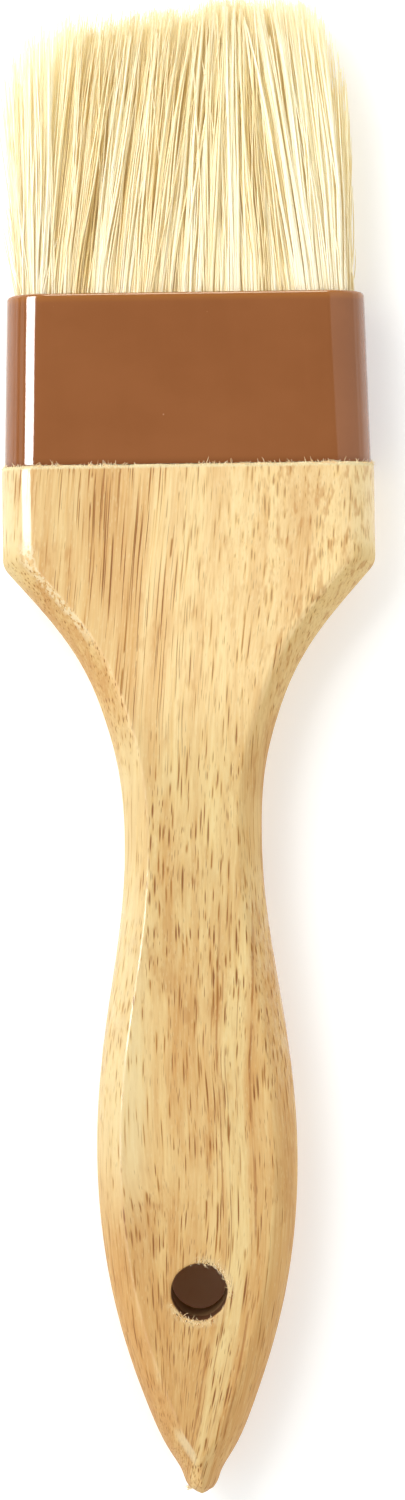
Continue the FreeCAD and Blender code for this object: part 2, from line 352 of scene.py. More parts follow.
    def tubes(cell, off, r0, r1, least, gate, along, lo=0.70, hi=1.20):
        vo = m.node("ShaderNodeTexVoronoi", voronoi_dimensions="2D", feature="F1")
        m.link(m.comb(add(mul(u, 1 / cell), off), add(mul(v, 1 / cell), off * 0.37), 0.0), vo.inputs["Vector"])
        vo.inputs["Scale"].default_value = 1.0
        c = m.sep(vo.outputs["Color"])
        size = mul(m.step(c[0], least, 1.0, r0 / cell, r1 / cell), m.step(dens, 0.32, 0.62, lo, hi))
        size = mul(size, m.step(y, -4.0, -22.0, 1.0, 1.17))
        run = m.noise(m.comb(mul(c[1], 61.0), mul(y, 1 / along), mul(c[2], 47.0)), 1.0, 1.0, 0.5)
        on = mul(m.step(run, gate - 0.03, gate + 0.04), m.step(c[0], least - 0.02, least + 0.02))
        halo = mul(m.step(vo.outputs["Distance"], mul(size, 2.3), mul(size, 0.5)), on)
        return mul(m.step(vo.outputs["Distance"], size, mul(size, 0.30)), on), c, halo

    p1, c1, h1 = tubes(0.60, 3.0, 0.070, 0.170, 0.10, 0.40, 7.0)
    p2, c2, h2 = tubes(0.34, 17.0, 0.038, 0.090, 0.25, 0.45, 4.0)
    # the long dark lines on the left of the head
    p3, c3, h3 = tubes(0.74, 41.0, 0.080, 0.150, 0.02, 0.36, 26.0, 0.95, 1.0)
    p4, c4, h4 = tubes(0.56, 71.0, 0.055, 0.110, 0.02, 0.38, 21.0, 0.95, 1.0)
    lines = mul(mul(m.step(x, 7.0, -6.0), m.step(y, -4.0, 8.0)), face)
    p3 = mul(m.math("MAXIMUM", p3, mul(p4, 0.8)), lines)
    h3 = mul(m.math("MAXIMUM", h3, mul(h4, 0.8)), lines)
    pore = m.math("MAXIMUM", mul(p1, 0.95), mul(p2, 0.62))
    # fainter on the pale right half of the head, strongest on its left and toward the tip
    faint = mul(mul(m.step(x, -7.0, 3.0), m.step(y, -24.0, -4.0)), m.step(y, 12.0, 26.0, 0.16, 0.40))
    faint = add(faint, mul(grip_left_pale, 0.30))
    pore = mul(pore, sub(1.0, faint))
    # each vessel line is bordered by wood stained a deeper orange
    halo = mul(m.math("MAXIMUM", mul(h1, 0.85), h3), sub(1.0, mul(faint, 0.3)))
    col = m.mix(mul(halo, 0.62), col, (0.94, 0.81, 0.60), "MULTIPLY")
    dark = m.mix(m.step(c1[1], 0.1, 0.9), seen(186, 128, 58), seen(148, 88, 30))
    # filled and fainter where the edges were sanded and sealed
    top = m.step(m.math("ABSOLUTE", sub(z, Z_MID)), 5.2, 6.7, 0.80, 1.0)
    pore = mul(pore, top)
    col = m.mix(pore, col, dark)
    col = m.mix(p3, col, m.mix(m.step(c3[1], 0.1, 0.9), seen(182, 122, 58), seen(144, 84, 30)))
    pore = m.math("MAXIMUM", pore, p3)
    # torn pale fibres along the crease of the left shoulder, and near the tip a painted highlight along the same crease
    tear = m.noise(m.mapping(mm, scale=(1 / 0.5, 1 / 0.8, 1 / 0.5), loc=(5, 2, 7)), 1.0, 2.0, 0.6)
    crease = mul(m.step(z, 13.99, 13.90), m.step(z, 12.6, 13.4))
    shoulder = mul(mul(m.step(x, -9.0, -15.0), m.step(y, 13.0, 19.0)), mul(m.step(tear, 0.44, 0.54), m.step(y, 31.0, 28.0)))
    point = mul(mul(m.step(x, -0.5, -1.2), m.step(y, -97.5, -100.0)), m.step(y, -107.0, -105.5))
    crease = mul(crease, m.math("MAXIMUM", shoulder, mul(point, 0.75)))
    col = m.mix(mul(crease, 0.85), col, seen(255, 232, 184))
    # raw pale fibres where the lacquer stops at the ferrule, and around the drilled hole
    edge_n = m.noise(m.mapping(mm, scale=(1 / 0.25, 1 / 0.8, 1 / 0.5)), 1.0, 2.0, 0.5)
    edge = m.step(add(y, mul(sub(edge_n, 0.5), 0.7)), 39.9, 40.3)
    col = m.mix(mul(edge, 0.9), col, seen(255, 236, 186))
    rx = sub(y, HOLE_Y)
    rad = m.math("SQRT", add(mul(x, x), mul(rx, rx)))
    rn = m.noise(m.mapping(mm, scale=(1 / 0.5, 1 / 0.9, 1 / 0.5), loc=(8, 8, 8)), 1.0, 3.0, 0.6)
    torn_side = m.math("MAXIMUM",
                       mul(m.step(add(x, rx), 2.6, 4.6), m.step(x, -1.6, 0.2)),
                       m.step(add(mul(rx, -1.0), mul(x, -0.35)), 2.4, 4.2))
    ring = mul(m.step(rad, 5.6, 4.4), m.step(rn, 0.40, 0.54))
    ring = mul(mul(ring, torn_side), face)
    col = m.mix(mul(ring, 0.85), col, seen(248, 218, 162))
    rk = m.noise(m.mapping(mm, scale=(1 / 0.32, 1 / 0.5, 1 / 0.4), loc=(1, 8, 3)), 1.0, 2.0, 0.6)
    nick = mul(mul(m.step(rad, 5.0, 4.5), m.step(rk, 0.60, 0.66)), mul(torn_side, face))
    col = m.mix(mul(nick, 0.9), col, seen(112, 66, 30))
    # wall of the hole: painted dark brown, darkest near the top face, painted shade for the dim inside of the hole
    wall = mul(m.step(rad, 4.25, 4.08), m.step(m.math("ABSOLUTE", sub(z, Z_MID)), 6.95, 6.6))
    hole_wall_shade = m.step(add(z, mul(sub(rn, 0.5), 5.0)), 8.6, 10.2)
    col = m.mix(wall, col, m.mix(hole_wall_shade, (0.36, 0.215, 0.10), srgb(104, 66, 40)))
    height = sub(mul(fine, 0.35), pore)
    nrm = m.bump(height, 0.35, 0.00012)
    raw = m.math("MAXIMUM", edge, ring)
    m.set(Base_Color=col, Normal=nrm)
    m.put(m.b.inputs["Roughness"], add(0.55, mul(raw, 0.3)))
    m.b.inputs["Specular IOR Level"].default_value = 0.12
    # the lacquer is rubbed thin along the shoulders and patchy along the grip's edges
    patch = m.noise(m.mapping(mm, scale=(1 / 1.2, 1 / 2.6, 1 / 1.2), loc=(2, 8, 6)), 1.0, 3.0, 0.6)
    slope_y = mul(m.step(y, 31.0, 26.0), m.step(y, -26.0, -14.0))
    thin = m.math("MAXIMUM", mul(slope_y, 0.92), mul(m.step(y, -42.0, -62.0), 0.9))
    gloss = mul(sub(1.0, thin), m.step(patch, 0.42, 0.58, 0.12, 0.85))
    gloss = m.math("MAXIMUM", gloss, m.step(y, 27.0, 31.0))
    coat = mul(mul(gloss, 0.75), sub(1.0, m.math("MAXIMUM", raw, wall)))
    # the lacquer sinks into the open vessels and breaks the shine along them
    coat = mul(coat, sub(1.0, mul(pore, 0.85)))
    m.put(m.b.inputs["Coat Weight"], coat)
    m.b.inputs["Coat Roughness"].default_value = 0.09
    cn = m.bump(add(mul(fine, 0.5), mul(pore, -0.8)), 0.10, 0.0001)
    m.put(m.b.inputs["Coat Normal"], cn)
    return m.m


def ferrule_material():
    m = Mat("chestnut_gloss_plastic")
    mm = m.mapping(scale=(1000, 1000, 1000))
    x, y, z = m.sep(mm)
    cloud = m.noise(m.mapping(mm, scale=(1 / 16, 1 / 11, 1 / 10)), 1.0, 3.0, 0.55)
    flow = m.noise(m.mapping(mm, scale=(1 / 2.4, 1 / 18, 1 / 3)), 1.0, 2.0, 0.5)
    col = m.mix(m.step(cloud, 0.30, 0.70), FERRULE_A, FERRULE_B)
    col = m.mix(m.math("MULTIPLY", m.step(flow, 0.45, 0.7), 0.10), col, FERRULE_C)
    # a more orange band along the mouth: partly the rim's own colour, partly a painted highlight, the fall-off of the
    # shine on the rolled edge
    lip = m.step(y, Y_MOUTH - 1.5, Y_MOUTH - 0.4)
    col = m.mix(m.math("MULTIPLY", lip, 0.75), col, seen(184, 118, 60))
    # painted shade: the ferrule is darkened over its last 1.2 mm above the wood
    low = m.step(y, Y_WOOD + 1.2, Y_WOOD + 0.1)
    col = m.mix(m.math("MULTIPLY", low, 0.30), col, seen(112, 62, 32))
    # dust and short pale scratches
    v = m.voronoi(m.mapping(mm, scale=(1 / 3.1, 1 / 3.4, 1 / 3.1)), 1.0, out=None)
    r = m.sep(v.outputs["Color"])
    sz = m.step(r[0], 0.50, 1.0, 0.0, 0.056)
    speck = m.step(v.outputs["Distance"], sz, m.math("MULTIPLY", sz, 0.4))
    s = m.voronoi(m.mapping(mm, scale=(1 / 1.9, 1 / 17, 1 / 1.9), rot=(0, 0, 0.12), loc=(1.7, 3, 2)), 1.0, out=None)
    rs = m.sep(s.outputs["Color"])
    ssz = m.step(rs[0], 0.80, 1.0, 0.0, 0.05)
    scr = m.step(s.outputs["Distance"], ssz, m.math("MULTIPLY", ssz, 0.5))
    marks = m.math("MAXIMUM", speck, m.math("MULTIPLY", scr, 0.55))
    col = m.mix(m.math("MULTIPLY", marks, 0.6), col, seen(206, 158, 112))
    wave = m.noise(m.mapping(mm, scale=(1 / 9, 1 / 22, 1 / 9)), 1.0, 1.0, 0.5)
    ripple = m.noise(m.mapping(mm, scale=(1 / 2.2, 1 / 4.5, 1 / 2.2), loc=(4, 1, 6)), 1.0, 2.0, 0.5)
    wave = m.math("ADD", wave, m.math("MULTIPLY", ripple, 0.30))
    nrm = m.bump(m.math("ADD", wave, m.math("MULTIPLY", marks, -0.02)), 0.10, 0.0003)
    m.set(Base_Color=col, Normal=nrm)
    m.put(m.b.inputs["Roughness"], m.math("ADD", 0.07, m.math("MULTIPLY", marks, 0.35)))
    m.b.inputs["Specular IOR Level"].default_value = 0.55
    m.b.inputs["Coat Weight"].default_value = 0.15
    m.b.inputs["Coat Roughness"].default_value = 0.03
    return m.m


def bristle_material(name):
    m = Mat(name)
    mm = m.mapping(scale=(1000, 1000, 1000))
    x, y, z = m.sep(mm)
    a = m.node("ShaderNodeAttribute", attribute_name="hair")
    strand_tone = a.outputs["Fac"]
    streak = m.noise(m.mapping(mm, scale=(1 / 0.45, 1 / 14, 1 / 0.45)), 1.0, 3.0, 0.6)
    clump = m.noise(m.mapping(mm, scale=(1 / 2.6, 1 / 40, 1 / 2.2), loc=(3, 0, 1)), 1.0, 2.0, 0.5)
    # the per-strand tone holds random variation and the painted highlight and edge light set where the strands are
    # built
    col = m.mix(m.step(strand_tone, 0.0, 1.0), HAIR_TAN, HAIR_PALE)
    col = m.mix(m.step(strand_tone, 0.94, 1.0), col, srgb(252, 245, 214))
    col = m.mix(m.math("MULTIPLY", m.step(strand_tone, 0.10, 0.02), 0.5), col, srgb(196, 164, 100))
    col = m.mix(m.math("MULTIPLY", m.step(streak, 0.52, 0.76), 0.22), col, srgb(232, 204, 142))
    col = m.mix(m.math("MULTIPLY", m.step(clump, 0.54, 0.74), 0.16), col, srgb(238, 212, 150))
    tips = m.step(y, 92.0, 106.0)
    col = m.mix(m.math("MULTIPLY", tips, 0.22), col, srgb(255, 248, 216))
    # darker and warmer towards the root: painted shade where the strands stand closest
    col = m.mix(m.step(y, 93.0, 68.0), col, (0.93, 0.90, 0.88, 1.0), mode="MULTIPLY")
    scale = m.noise(m.mapping(mm, scale=(1 / 0.08, 1 / 0.22, 1 / 0.08)), 1.0, 1.0, 0.5)
    m.set(Base_Color=col, Normal=m.bump(scale, 0.12, 0.00002))
    m.put(m.b.inputs["Roughness"], m.math("ADD", 0.34, m.math("MULTIPLY", streak, 0.16)))
    m.b.inputs["Specular IOR Level"].default_value = 0.5
    # the strands glow faintly in their own colour: painted light that lifts the gaps in the pack, standing in for light
    # passed on inside the translucent bristle
    m.put(m.b.inputs["Emission Color"], col)
    m.b.inputs["Emission Strength"].default_value = 0.08
    return m.m


def sliver_material():
    m = Mat("raised_wood_fibre")
    mm = m.mapping(scale=(1000, 1000, 1000))
    n = m.noise(m.mapping(mm, scale=(1 / 0.4, 1 / 0.4, 1 / 0.4)), 1.0, 2.0, 0.5)
    col = m.mix(m.step(n, 0.35, 0.7), srgb(246, 214, 156), srgb(255, 240, 202))
    fibre = m.noise(m.mapping(mm, scale=(1 / 0.05, 1 / 0.5, 1 / 0.05)), 1.0, 2.0, 0.5)
    m.set(Base_Color=col, Normal=m.bump(fibre, 0.2, 0.00003), Roughness=m.math("ADD", 0.6, m.math("MULTIPLY", n, 0.2)))
    return m.m


def hidden_material(name, a, b, rough):
    m = Mat(name)
    mm = m.mapping(scale=(1000, 1000, 1000))
    n = m.noise(m.mapping(mm, scale=(1 / 1.5, 1 / 6, 1 / 1.5)), 1.0, 3.0, 0.6)
    m.set(Base_Color=m.mix(m.step(n, 0.35, 0.65), a, b), Normal=m.bump(n, 0.2, 0.0001),
          Roughness=m.math("ADD", rough, m.math("MULTIPLY", n, 0.15)))
    return m.m


WOOD = wood_material()
PLASTIC = ferrule_material()
HAIR = bristle_material("hog_bristle")
SLIVER = sliver_material()


# ---------------------------------------------------------------- handle
def build_handle():
    w_of = spline(OUTLINE)
    big_r = (H * H + ROUND_IN ** 2) / (2 * ROUND_IN)
    ys = np.concatenate([np.linspace(-108.0, -100.0, 34)[:-1], np.linspace(-100.0, 20.0, 286)[:-1],
                         np.linspace(20.0, 32.0, 46)[:-1], np.linspace(32.0, 40.45, 22)])
    # slight unevenness of hand shaping
    wob_l = 0.10 * value_noise(ys / 17.0, ys * 0, ys * 0 + 1.5, 3)
    wob_r = 0.10 * value_noise(ys / 15.0, ys * 0, ys * 0 + 7.5, 4)
    w = w_of(ys)
    slope = w_of(ys, 1)
    s = np.sqrt(1 + np.clip(slope, -1.2, 1.2) ** 2)
    levels = H * np.sin(np.linspace(0, math.pi / 2, 56))
    round_x = big_r - np.sqrt(big_r ** 2 - levels ** 2)
    shaped = w[:, None] - round_x[None, :] * s[:, None]
    bar = np.where(levels <= H - HEAD_R, HEAD_W / 2,
                   HEAD_W / 2 - HEAD_R + np.sqrt(np.maximum(HEAD_R ** 2 - (levels - (H - HEAD_R)) ** 2, 0)))
    xx = np.minimum(shaped, bar[None, :])
    # soften the corner where the shoulder's facet meets the head's rounded side
    fy = np.arange(-112.0, 46.0, 0.1)
    k, r = gauss_kernel(0.55, 0.1)
    sm = np.empty_like(xx)
    for i in range(xx.shape[1]):
        line = np.interp(fy, ys, xx[:, i])
        line = np.convolve(np.pad(line, r, mode="edge"), k, "valid")
        sm[:, i] = np.interp(ys, fy, line)
    keep = smoothstep(-104.5, -101.0, ys)[:, None]
    xx = xx * (1 - keep) + sm * keep
    nq = (26, 14, 22)
    ring = 4 * sum(nq)
    rows = []
    for j, y in enumerate(ys):
        x = xx[j]
        if x[-1] > 0.02:
            top_x = np.linspace(0, x[-1], 60)[:-1]
            px = np.concatenate([x, top_x[::-1]])
            pz = np.concatenate([levels, np.full(59, H)])
        else:
            i = int(np.argmax(x <= 0.02))
            f = (x[i - 1] - 0.0) / max(x[i - 1] - x[i], 1e-9)
            zr = levels[i - 1] + f * (levels[i] - levels[i - 1])
            px = np.concatenate([x[:i], [0.0]])
            pz = np.concatenate([levels[:i], [zr]])
        # closed loop: right side up over the top, left side, bottom
        cx = np.concatenate([px, -px[::-1][1:], -px[1:], px[::-1][1:-1]])
        cz = np.concatenate([pz, pz[::-1][1:], -pz[1:], -pz[::-1][1:-1]])
        seg = np.hypot(np.diff(np.append(cx, cx[0])), np.diff(np.append(cz, cz[0])))
        arc = np.concatenate([[0], np.cumsum(seg)])
        n = int(max(240, arc[-1] / 0.06))
        t = np.arange(n) * arc[-1] / n
        ux = np.interp(t, arc, np.append(cx, cx[0]))
        uz = np.interp(t, arc, np.append(cz, cz[0]))
        kk, rr = gauss_kernel(0.20, arc[-1] / n)
        rr = min(rr, n // 2 - 1)
        ux = np.convolve(np.concatenate([ux[-rr:], ux, ux[:rr]]), kk[len(kk) // 2 - rr:len(kk) // 2 + rr + 1], "valid")
        uz = np.convolve(np.concatenate([uz[-rr:], uz, uz[:rr]]), kk[len(kk) // 2 - rr:len(kk) // 2 + rr + 1], "valid")
        lq = arc[-1] / 4
        side = np.hypot(np.diff(np.minimum(x, 1e9)), np.diff(levels))
        sc = float(side[: max(1, int((x > 0.02).sum()) - 1)].sum())
        b1, b2 = min(sc - 1.0, 0.62 * lq), min(sc + 1.0, 0.85 * lq)
        b1 = max(b1, 0.3 * lq)
        q = np.concatenate([np.linspace(0, b1, nq[0] + 1)[:-1], np.linspace(b1, b2, nq[1] + 1)[:-1],
                            np.linspace(b2, lq, nq[2] + 1)])
        samp = np.concatenate([q, 2 * lq - q[::-1][1:], 2 * lq + q[1:], 4 * lq - q[::-1][1:-1]])
        vx = np.interp(samp, np.append(t, arc[-1]), np.append(ux, ux[0]))
        vz = np.interp(samp, np.append(t, arc[-1]), np.append(uz, uz[0]))
        share = np.clip(vx / max(w[j], 0.5), -1, 1)
        grow = np.where(share > 0, wob_r[j] * share, -wob_l[j] * -share)
        if y < 24:
            vx = vx + grow * smoothstep(-107, -100, y) * smoothstep(24, 18, y)
        rows.append(np.stack([vx, np.full(ring, y), vz + Z_MID], -1))
    # blunt tip: draw the last rings in a little
    tip = rows[0].copy()
    tip_rings = []
    for dy, sc_ in ((0.0, 0.62), (0.10, 0.84), (0.30, 0.95)):
        r_ = tip.copy()
        r_[:, 0] *= sc_
        r_[:, 2] = Z_MID + (r_[:, 2] - Z_MID) * (0.75 + 0.25 * sc_)
        r_[:, 1] = -108.0 + dy
        tip_rings.append(r_)
    rows[0][:, 1] = -107.55
    rows = [rows_ for rows_ in tip_rings] + [rr_ for rr_ in rows if rr_[0, 1] > -107.62]
    # eased end edge at the ferrule, then the tenon inside it
    end = rows[-1].copy()

    def inset(base, dx, y):
        o = base.copy()
        hx, hz = np.abs(base[:, 0]).max(), np.abs(base[:, 2] - Z_MID).max()
        o[:, 0] = base[:, 0] * (hx - dx) / hx
        o[:, 2] = Z_MID + (base[:, 2] - Z_MID) * (hz - dx) / hz
        o[:, 1] = y
        return o
    for i in range(len(rows)):
        y = rows[i][0, 1]
        if y > 39.0:
            rows[i] = inset(rows[i], 0.05 * ((y - 39.0) / 1.6) ** 2, y)
    rows[-1] = inset(end, 0.05, 40.45)
    rows.append(inset(end, 0.13, 40.56))
    rows.append(inset(end, 0.40, 40.6))
    ten = inset(end, 0.75, 40.6)
    ten[:, 0] *= 24.8 / np.abs(ten[:, 0]).max()
    ten[:, 2] = Z_MID + (ten[:, 2] - Z_MID) * 5.2 / np.abs(ten[:, 2] - Z_MID).max()
    for y in (40.6, 44.5, 48.6):
        t_ = ten.copy()
        t_[:, 1] = y
        rows.append(t_)
    v = np.concatenate(rows)
    n_rows = len(rows)
    # fuzzy, slightly ragged end edge
    ragged = np.abs(v[:, 1] - 40.5) < 0.13
    v[ragged, 1] += 0.10 * value_noise(v[ragged, 0] / 0.7, v[ragged, 2] / 0.7, v[ragged, 0] * 0, 8)
    # wood is never quite flat: pores and fibres move the lacquered faces by hundredths
    face = (v[:, 1] < 39.5) & (v[:, 1] > -105)
    lift = 0.022 * value_noise(v[:, 0] / 1.3 - v[:, 1] * 0.06, v[:, 1] / 26.0, v[:, 2] / 3.0, 11) \
        + 0.05 * value_noise(v[:, 0] / 9.0, v[:, 1] / 30.0, v[:, 2] / 9.0, 12)
    v[face, 2] += (lift * np.sign(v[:, 2] - Z_MID) * smoothstep(3.0, 6.0, np.abs(v[:, 2] - Z_MID)))[face]
    faces = grid_faces(n_rows, ring)
    # leave room for the hole in both faces, then fill that room with a fine ring mesh
    fy_ = v[faces, 1].mean(1) - HOLE_Y
    near = np.hypot(v[faces, 0], v[faces, 1] - HOLE_Y).min(1) < 5.7
    near &= np.abs(v[faces, 2] - Z_MID).mean(1) > 5.5
    faces = faces[~near]
    flat = [tuple(f) for f in faces]
    flat.append(tuple(range(ring))[::-1])
    flat.append(tuple(range((n_rows - 1) * ring, n_rows * ring)))
    nv = len(v)
    na = 120
    ang = np.arange(na) * 2 * math.pi / na

    def chips(a, rad, top):
        if not top:
            return 0.06 * np.abs(value_noise(np.cos(a) * 6, np.sin(a) * 6, rad * 0 + 3, 21))
        hi = np.exp(-((((a - 0.95) + math.pi) % (2 * math.pi) - math.pi) / 0.55) ** 2)
        lo = np.exp(-((((a - 4.35) + math.pi) % (2 * math.pi) - math.pi) / 0.55) ** 2)
        jag = 0.5 + 0.5 * value_noise(np.cos(a) * 9, np.sin(a) * 9, rad * 3.0, 22)
        jag2 = 0.5 + 0.5 * value_noise(np.cos(a) * 26, np.sin(a) * 26, rad * 5.0, 23)
        fall = np.clip((5.15 - rad) / 0.9, 0, 1)
        return fall * (0.06 * jag2 + (0.55 * hi + 0.60 * lo) * (0.25 + 0.75 * jag) * (0.5 + 0.5 * jag2))
    extra, loops = [], []
    start = nv
    for top in (True, False):
        sgn = 1.0 if top else -1.0
        group = []
        for rad, drop in ((5.2, 0.0), (4.95, 0.0), (4.72, 0.0), (4.52, 0.0), (4.36, 0.01), (4.24, 0.03), (4.14, 0.09), (4.06, 0.19), (4.015, 0.32), (4.0, 0.5)):
            ch = chips(ang, rad, top)
            rr_ = np.full(na, rad) + (0.04 * value_noise(np.cos(ang) * 5, np.sin(ang) * 5, ang * 0 + rad, 24) if rad < 4.6 else 0)
            zz = Z_MID + sgn * (H - drop - ch)
            extra.append(np.stack([rr_ * np.cos(ang), HOLE_Y + rr_ * np.sin(ang), zz], -1))
            group.append(np.arange(start, start + na))
            start += na
        loops.append(group)
    wall = []
    for zc in np.linspace(12.9, 1.1, 16):
        rr_ = 4.0 + 0.03 * value_noise(np.cos(ang) * 4, np.sin(ang) * 4, ang * 0 + zc / 2.0, 25)
        extra.append(np.stack([rr_ * np.cos(ang), HOLE_Y + rr_ * np.sin(ang), np.full(na, zc)], -1))
        wall.append(np.arange(start, start + na))
        start += na
    chain = loops[0] + wall + loops[1][::-1]
    for a, b in zip(chain[:-1], chain[1:]):
        for i in range(na):
            i2 = (i + 1) % na
            flat.append((a[i], b[i], b[i2], a[i2]))
    allv = np.concatenate([v] + extra)
    ob = new_mesh("wood_handle", allv, flat)
    import bmesh
    bm = bmesh.new()
    bm.from_mesh(ob.data)
    bmesh.ops.remove_doubles(bm, verts=[vv for vv in bm.verts if vv.co.y < -0.0995], dist=2e-6)
    for top in (True, False):
        zt = 0.0125 if top else 0.0015
        edges = [e for e in bm.edges if e.is_boundary and all((vv.co.z > zt) == top for vv in e.verts)
                 and all(math.hypot(vv.co.x, vv.co.y - HOLE_Y * MM) < 0.0085 for vv in e.verts)]
        bmesh.ops.triangle_fill(bm, edges=edges, use_beauty=True, use_dissolve=False)
    bmesh.ops.recalc_face_normals(bm, faces=bm.faces)
    for f in bm.faces:
        f.smooth = True
    left = sum(1 for e in bm.edges if not e.is_manifold)
    bm.to_mesh(ob.data)
    bm.free()
    print("handle open edges", left, "faces", len(ob.data.polygons))
    ob.data.materials.append(WOOD)
    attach(ob, "brush_body")
    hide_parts("handle")
    return ob


# ---------------------------------------------------------------- ferrule
def rounded_ring(w, t, r, n_corner=22, n_long=40, n_short=6):
    """Points of a rounded rectangle, the same count whatever its size."""
    hw, ht = w / 2, t / 2
    pts = []
    xs = np.linspace(-1, 1, n_long + 1)
    xs = np.sign(xs) * (1 - (1 - np.abs(xs)) ** 1.6)     # closer together near the corners
    for a in xs[:-1]:
        pts.append((a * (hw - r), -ht))
    for a in np.linspace(-math.pi / 2, 0, n_corner + 1)[:-1]:
        pts.append((hw - r + r * math.cos(a), -ht + r + r * math.sin(a)))
    for a in np.linspace(-1, 1, n_short + 1)[:-1]:
        pts.append((hw, a * (ht - r)))
    for a in np.linspace(0, math.pi / 2, n_corner + 1)[:-1]:
        pts.append((hw - r + r * math.cos(a), ht - r + r * math.sin(a)))
    for a in -xs[:-1]:
        pts.append((a * (hw - r), ht))
    for a in np.linspace(math.pi / 2, math.pi, n_corner + 1)[:-1]:
        pts.append((-hw + r + r * math.cos(a), ht - r + r * math.sin(a)))
    for a in np.linspace(1, -1, n_short + 1)[:-1]:
        pts.append((-hw, a * (ht - r)))
    for a in np.linspace(math.pi, 1.5 * math.pi, n_corner + 1)[:-1]:
        pts.append((-hw + r + r * math.cos(a), -ht + r + r * math.sin(a)))
    return np.array(pts)


def build_ferrule():
    def dims(y):
        f = (y - Y_WOOD) / (Y_MOUTH - Y_WOOD)
        return 53.1 - 1.3 * f, 13.8 - 0.8 * f, 5.6

    rings = []

    def add(y, inset):
        w, t, r = dims(y)
        p = rounded_ring(w - 2 * inset, t - 2 * inset, max(r - inset, 0.5))
        # the wide faces are very slightly crowned away towards the corners
        crown = 0.0055 * np.maximum(np.abs(p[:, 0]) - 17.0, 0) ** 2 * (np.abs(p[:, 1]) > t / 2 - 2.2)
        crown = np.minimum(crown, 0.10)
        pz = p[:, 1] - np.sign(p[:, 1]) * crown
        rings.append(np.stack([p[:, 0], np.full(len(p), y), pz + Z_MID], -1))
    add(Y_WOOD + 0.02, 0.16)
    add(Y_WOOD + 0.05, 0.06)
    add(Y_WOOD + 0.14, 0.0)
    for y in np.linspace(Y_WOOD + 0.5, Y_MOUTH - 0.75, 44):
        add(y, 0.0)
    for y, i in ((0.55, 0.005), (0.42, 0.02), (0.30, 0.06), (0.20, 0.12), (0.11, 0.21), (0.05, 0.32), (0.012, 0.45), (0.0, 0.6),
                 (0.03, 0.78), (0.12, 0.95), (0.28, 1.08), (0.55, 1.16), (0.9, 1.2)):
        add(Y_MOUTH - y, i)
    for y in np.linspace(Y_MOUTH - 2.0, Y_WOOD + 0.6, 16):
        add(y, 1.2)
    add(Y_WOOD + 0.1, 1.16)
    add(Y_WOOD + 0.02, 1.0)
    n = len(rings[0])
    v = np.concatenate(rings)
    # moulded plastic is not perfectly even; a tiny flash nub stands on the left edge
    out = v - np.array([0, 0, Z_MID])
    wav = 0.020 * value_noise(v[:, 0] / 8.0, v[:, 1] / 7.0, v[:, 2] / 6.0, 31)
    v[:, 2] += wav * np.sign(v[:, 2] - Z_MID)
    d = np.hypot(v[:, 1] - 55.2, (v[:, 2] - Z_MID))
    v[:, 0] -= np.where((v[:, 0] < -25.5), 0.14 * np.exp(-(d / 0.45) ** 2), 0)
    f = list(map(tuple, grid_faces(len(rings), n)))
    last = (len(rings) - 1) * n
    for i in range(n):
        i2 = (i + 1) % n
        f.append((last + i, last + i2, i2, i))
    ob = new_mesh("ferrule_shell", v, f)
    import bmesh
    bm = bmesh.new()
    bm.from_mesh(ob.data)
    bmesh.ops.recalc_face_normals(bm, faces=bm.faces)
    bm.to_mesh(ob.data)
    bm.free()
    ob.data.materials.append(PLASTIC)
    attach(ob, "brush_body")
    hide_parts("ferrule")
    return ob


# ---------------------------------------------------------------- strands
def tube_strands(name, paths, radii, sides, value=None):
    """paths (n, k, 3) mm, radii (n, k) mm: closed tapered strands in one mesh."""
    n, k, _ = paths.shape
    tan = np.gradient(paths, axis=1)
    tan /= np.linalg.norm(tan, axis=2, keepdims=True) + 1e-12
    ref = np.tile(np.array([0.0, 0.0, 1.0]), (n, k, 1))
    ref[np.abs(tan[:, :, 2]) > 0.9] = (1.0, 0.0, 0.0)
    u = np.cross(tan, ref)
    u /= np.linalg.norm(u, axis=2, keepdims=True) + 1e-12
    w = np.cross(tan, u)
    a0 = RNG.uniform(0, 2 * math.pi, (n, 1, 1))
    a = a0 + np.arange(sides)[None, None, :] * 2 * math.pi / sides
    ring = (paths[:, :, None, :] + radii[:, :, None, None]
            * (np.cos(a)[..., None] * u[:, :, None, :] + np.sin(a)[..., None] * w[:, :, None, :]))
    tip = paths[:, -1] + tan[:, -1] * radii[:, -1:] * 2.0
    per = k * sides + 1
    verts = np.concatenate([ring.reshape(n, k * sides, 3), tip[:, None, :]], 1).reshape(-1, 3)
    quads = grid_faces(k, sides, True, flip=True)
    base = (np.arange(n) * per)[:, None, None]
    q = (quads[None] + base).reshape(-1, 4)
    c = np.arange(sides)
    cap = np.stack([(k - 1) * sides + (c + 1) % sides, (k - 1) * sides + c, np.full(sides, k * sides)], -1)
    tri = (cap[None] + base).reshape(-1, 3)
    if sides == 3:
        root = (np.array([[0, 1, 2]])[None] + base).reshape(-1, 3)
        tri = np.concatenate([tri, root])
        quad_root = np.zeros((0, 4), int)
    else:
        quad_root = (np.array([[0, 1, 2, 3]])[None] + base).reshape(-1, 4)
    q = np.concatenate([q, quad_root])
    me = bpy.data.meshes.new(name)
    nv, nq, nt = len(verts), len(q), len(tri)
    me.vertices.add(nv)
    me.vertices.foreach_set("co", (verts * MM).astype(np.float32).ravel())
    me.loops.add(nq * 4 + nt * 3)
    me.loops.foreach_set("vertex_index", np.concatenate([q.ravel(), tri.ravel()]).astype(np.int32))
    me.polygons.add(nq + nt)
    starts = np.concatenate([np.arange(nq) * 4, nq * 4 + np.arange(nt) * 3]).astype(np.int32)
    me.polygons.foreach_set("loop_start", starts)
    me.polygons.foreach_set("use_smooth", np.ones(nq + nt, bool))
    me.update(calc_edges=True)
    me.validate(clean_customdata=False)
    if value is not None:
        at = me.attributes.new("hair", "FLOAT", "POINT")
        at.data.foreach_set("value", np.repeat(value, per).astype(np.float32))
    ob = bpy.data.objects.new(name, me)
    bpy.context.scene.collection.objects.link(ob)
    return ob


